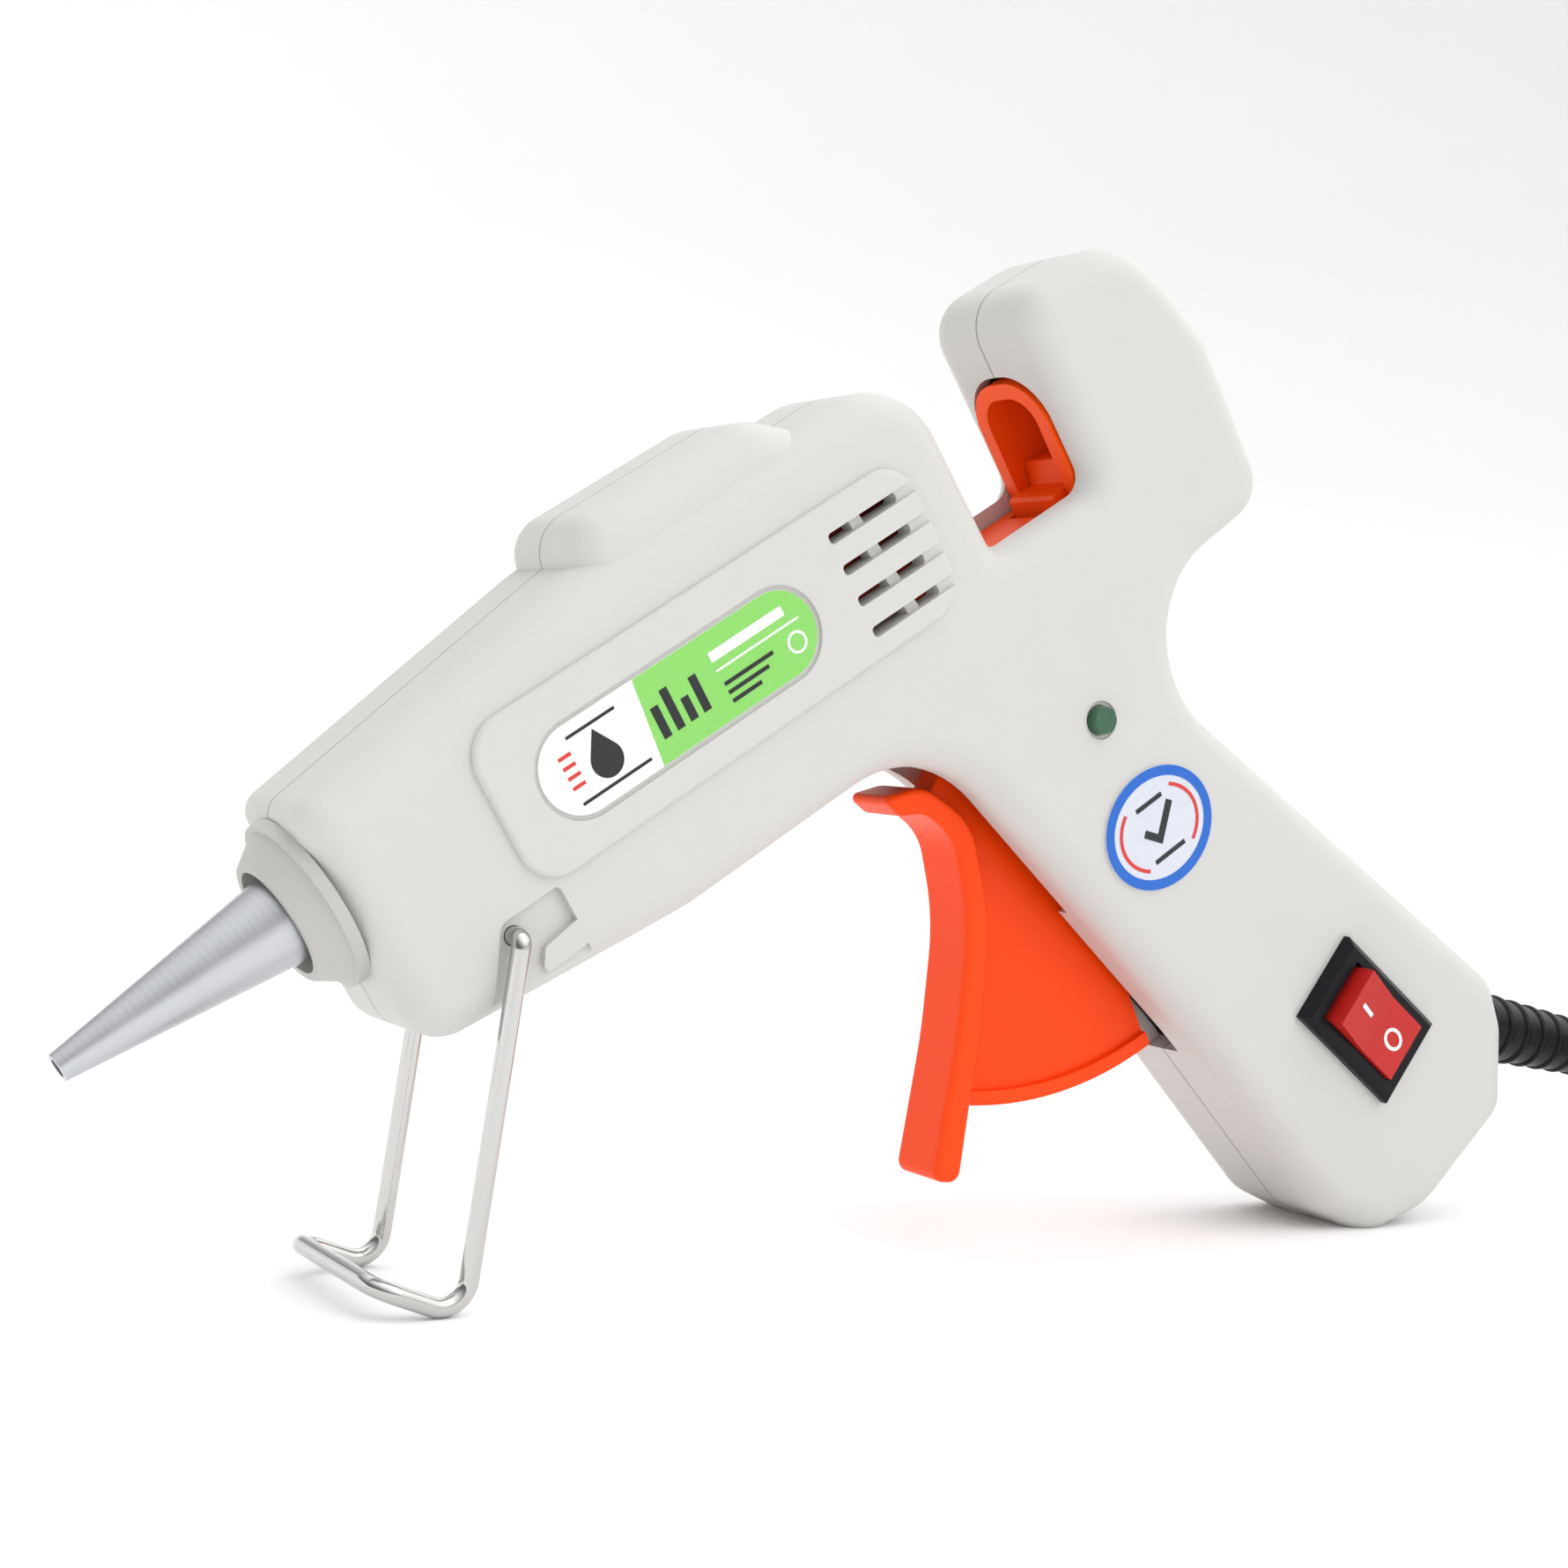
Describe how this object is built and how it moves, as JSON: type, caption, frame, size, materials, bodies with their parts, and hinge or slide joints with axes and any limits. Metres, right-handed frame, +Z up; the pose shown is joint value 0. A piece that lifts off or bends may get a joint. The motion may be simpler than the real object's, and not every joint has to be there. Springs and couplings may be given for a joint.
{
  "type": "hot glue gun",
  "caption": "Small pistol-grip hot glue gun resting nose-down on its wire stand, with squeeze trigger, stick feed, rocker switch and mains cord.",
  "frame": {"origin": "on the table, midway along the gun without its cord, in the plane where the two housing halves part", "axes": "+X from the nozzle to the rear, +Y to the side away from the switch, +Z up from the table"},
  "size_m": [0.3062, 0.0494, 0.1038],
  "materials": {
    "housing_plastic": "fine sandblasted moulding, light warm grey",
    "nozzle_metal": "turned, satin",
    "collar_plastic": "moulded heat-proof plastic, matt",
    "cast_alloy": "as cast",
    "insulating_film": "thin amber film",
    "heater_ceramic": "fired ceramic",
    "silicone": "moulded silicone, matt",
    "spring_steel": "drawn wire and pins",
    "trigger_plastic": "glossy orange moulding",
    "feed_plastic": "orange moulding",
    "stand_wire": "bright plated steel wire",
    "switch_black": "black moulding, slight sheen",
    "rocker_red": "red moulding, satin",
    "brass_tabs": "stamped",
    "lens_green": "clear green lens",
    "label_film": "printed film, white and green",
    "sticker_film": "printed film, blue ring on silver-white",
    "screw_steel": "zinc plated",
    "cord_black": "soft PVC, matt",
    "lead_sleeve": "woven glass sleeve",
    "tie_black": "woven hook-and-loop tape",
    "plug_black": "moulded-on PVC plug",
    "pin_metal": "nickel plated"
  },
  "bodies": {
    "housing": {"housing_left": "housing_plastic", "housing_right": "housing_plastic", "nozzle": "nozzle_metal", "nozzle_collar": "collar_plastic", "heater_barrel": "cast_alloy", "heater_film": "insulating_film", "ptc_heater": "heater_ceramic", "heater_wedge": "cast_alloy", "inlet_sleeve": "silicone", "sleeve_clip": "spring_steel", "trigger_pivot_pin": "spring_steel", "return_spring": "spring_steel", "switch_frame": "switch_black", "switch_terminals": "brass_tabs", "pilot_light": "lens_green", "light_resistor": "heater_ceramic", "name_label": "label_film", "round_sticker": "sticker_film", "housing_screws": "screw_steel", "cord_clamp": "switch_black", "cord_clamp_screws": "screw_steel", "cord_tail": "cord_black", "heater_leads": "lead_sleeve", "strain_relief": "cord_black", "cord": "cord_black", "cord_hank": "cord_black", "cord_tie": "tie_black", "mains_plug": "plug_black", "plug_pins": "pin_metal"},
    "trigger": {"trigger": "trigger_plastic"},
    "carriage": {"feed_carriage": "feed_plastic", "clamp_pin": "spring_steel"},
    "clamp": {"stick_clamp": "feed_plastic"},
    "rocker": {"switch_rocker": "rocker_red"},
    "stand": {"wire_stand": "stand_wire"}
  },
  "joints": [
    {"name": "trigger_squeeze", "type": "hinge", "parent": "housing", "child": "trigger", "pos_m": [0.01315, 0, 0.05619], "axis": [0, -1, 0], "range_deg": [0, 20], "stiffness_Nm_per_rad": 0.4, "springref_deg": -17.19},
    {"name": "carriage_feed", "type": "slide", "parent": "housing", "child": "carriage", "axis": [-0.8368, 0, -0.5475], "range_m": [0, 0.0041]},
    {"name": "clamp_bite", "type": "hinge", "parent": "carriage", "child": "clamp", "pos_m": [0.02467, 0, 0.07748], "axis": [0, 1, 0], "range_deg": [0, 8.1]},
    {"name": "switch_rock", "type": "hinge", "parent": "housing", "child": "rocker", "pos_m": [0.05905, -0.0074, 0.02384], "axis": [-0.5907, 0, -0.8069], "range_deg": [0, 12]},
    {"name": "stand_fold", "type": "hinge", "parent": "housing", "child": "stand", "pos_m": [-0.04463, 0, 0.03345], "axis": [0, 1, 0], "range_deg": [0, 44]}
  ],
  "couplings": [
    {"joint": "carriage_feed", "follows": "trigger_squeeze", "m_per_rad": 0.0116},
    {"joint": "clamp_bite", "follows": "trigger_squeeze", "ratio": 0.4}
  ]
}
